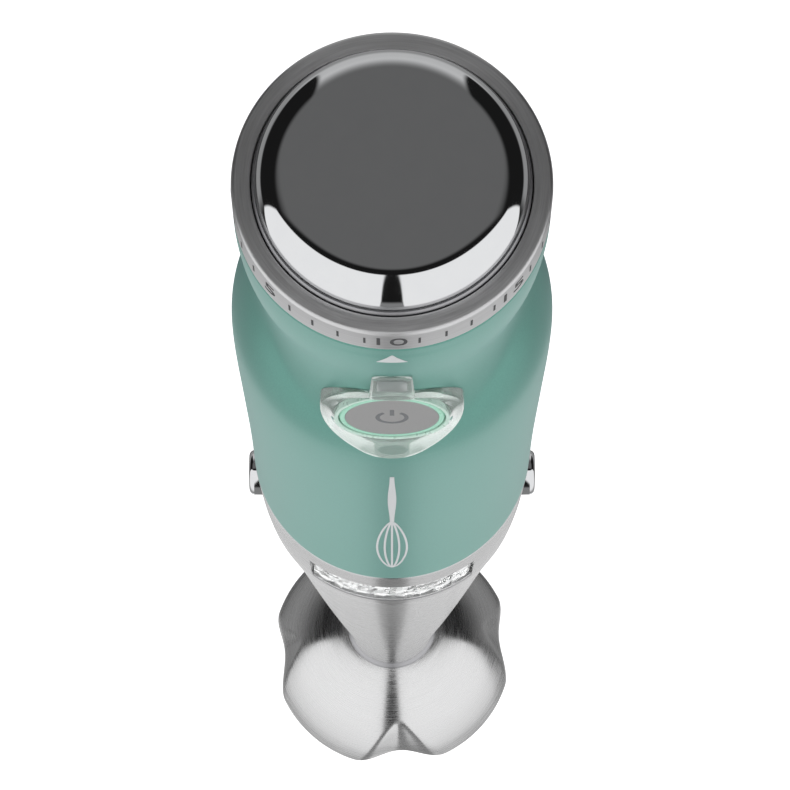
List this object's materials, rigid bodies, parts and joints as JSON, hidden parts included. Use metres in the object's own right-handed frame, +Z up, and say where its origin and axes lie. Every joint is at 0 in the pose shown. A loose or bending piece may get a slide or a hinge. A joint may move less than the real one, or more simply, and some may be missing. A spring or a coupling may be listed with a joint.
{
  "type": "immersion blender",
  "caption": "Hand-held stick blender: round grip with turning speed dial, thumb button and side releases, tapered detachable metal shaft and four-lobed bell over a two-wing blade.",
  "frame": {"origin": "centre of the bell's rim plane, where the blender stands upright", "axes": "+Z up the common axis of bell, shaft and grip to the cap; -Y the side of the thumb button; +X across"},
  "size_m": [0.0698, 0.0695, 0.4012],
  "materials": {
    "shell_paint": "satin metallic",
    "pointer_paint": "satin",
    "cap_chrome": "polished",
    "dial_steel": "brushed around",
    "lip_steel": "satin",
    "body_steel": "brushed around",
    "clear_plastic": "clear",
    "smoke_lens": "gloss",
    "mint_plastic": "gloss",
    "button_metal": "brushed",
    "dark_plastic": "matte",
    "grey_plastic": "matte",
    "board": "solder mask",
    "components": "gloss",
    "emitter": "gloss",
    "cast_metal": "cast",
    "copper": "enamelled wire",
    "lamination": "stacked sheet",
    "shaft_steel": "ground",
    "spring_steel": "drawn wire",
    "carbon": "matte",
    "rubber": "matte",
    "bronze": "sintered",
    "blade_steel": "ground"
  },
  "bodies": {
    "motor_unit": {"top_cap": "cap_chrome", "cap_lip": "lip_steel", "top_frame": "dark_plastic", "cap_screw": "shaft_steel", "track_board": "board", "housing_shell": "shell_paint", "pointer_mark": "pointer_paint", "button_bezel": "clear_plastic", "indicator_lens": "smoke_lens", "cord_gland": "rubber", "steel_collar": "body_steel", "light_bar": "clear_plastic", "light_seat": "grey_plastic", "light_board": "board", "light_emitters": "emitter", "inner_chassis": "grey_plastic", "button_spring": "spring_steel", "switch_bracket": "grey_plastic", "micro_switch": "dark_plastic", "control_board": "board", "board_components": "components", "heat_sink": "cast_metal", "motor_stator": "lamination", "field_coils": "copper", "carbon_brushes": "carbon", "brush_holders": "bronze", "upper_bracket": "cast_metal", "lower_bracket": "cast_metal", "upper_bearing": "shaft_steel", "lower_bearing": "shaft_steel", "motor_isolators": "rubber", "nose_frame": "dark_plastic", "release_spring_left": "spring_steel", "release_spring_right": "spring_steel"},
    "speed_dial": {"speed_dial_ring": "dial_steel", "dial_carrier": "dark_plastic", "contact_fingers": "copper"},
    "on_button": {"on_button_cap": "mint_plastic", "on_button_disc": "button_metal"},
    "release_left": {"release_button_left": "cap_chrome", "latch_arm_left": "dark_plastic"},
    "release_right": {"release_button_right": "cap_chrome", "latch_arm_right": "dark_plastic"},
    "armature": {"motor_shaft": "shaft_steel", "armature_stack": "lamination", "armature_winding": "copper", "commutator": "copper", "cooling_fan": "grey_plastic", "driver_coupling": "dark_plastic"},
    "shaft_unit": {"shaft_tube": "body_steel", "socket_ring": "dark_plastic", "shaft_bushes": "bronze", "shaft_seal": "rubber", "foot_ring": "lip_steel", "bell": "body_steel"},
    "blade_drive": {"drive_shaft": "shaft_steel", "driven_coupling": "dark_plastic", "blade_hub": "shaft_steel", "blade": "blade_steel", "blade_nut": "shaft_steel"}
  },
  "joints": [
    {"name": "speed_dial_turn", "type": "hinge", "parent": "motor_unit", "child": "speed_dial", "pos_m": [0, 0, 0.388], "axis": [0, 0, 1], "range_deg": [-98, 88]},
    {"name": "on_button_press", "type": "slide", "parent": "motor_unit", "child": "on_button", "axis": [0, 0.9969, -0.0785], "range_m": [0, 0.002], "stiffness_N_per_m": 1500, "springref_m": -0.001, "deforming": ["button_spring"]},
    {"name": "release_left_press", "type": "slide", "parent": "motor_unit", "child": "release_left", "axis": [1, 0, 0], "range_m": [0, 0.0025], "stiffness_N_per_m": 1200, "springref_m": -0.001, "deforming": ["release_spring_left"]},
    {"name": "release_right_press", "type": "slide", "parent": "motor_unit", "child": "release_right", "axis": [-1, 0, 0], "range_m": [0, 0.0025], "stiffness_N_per_m": 1200, "springref_m": -0.001, "deforming": ["release_spring_right"]},
    {"name": "shaft_detach", "type": "slide", "parent": "motor_unit", "child": "shaft_unit", "axis": [0, 0, -1], "range_m": [0, 0.06]},
    {"name": "armature_spin", "type": "hinge", "parent": "motor_unit", "child": "armature", "pos_m": [0, 0, 0.257], "axis": [0, 0, 1], "continuous": true},
    {"name": "blade_spin", "type": "hinge", "parent": "shaft_unit", "child": "blade_drive", "pos_m": [0, 0, 0.09], "axis": [0, 0, 1], "continuous": true}
  ],
  "couplings": [
    {"joint": "blade_spin", "follows": "armature_spin", "ratio": 1}
  ]
}
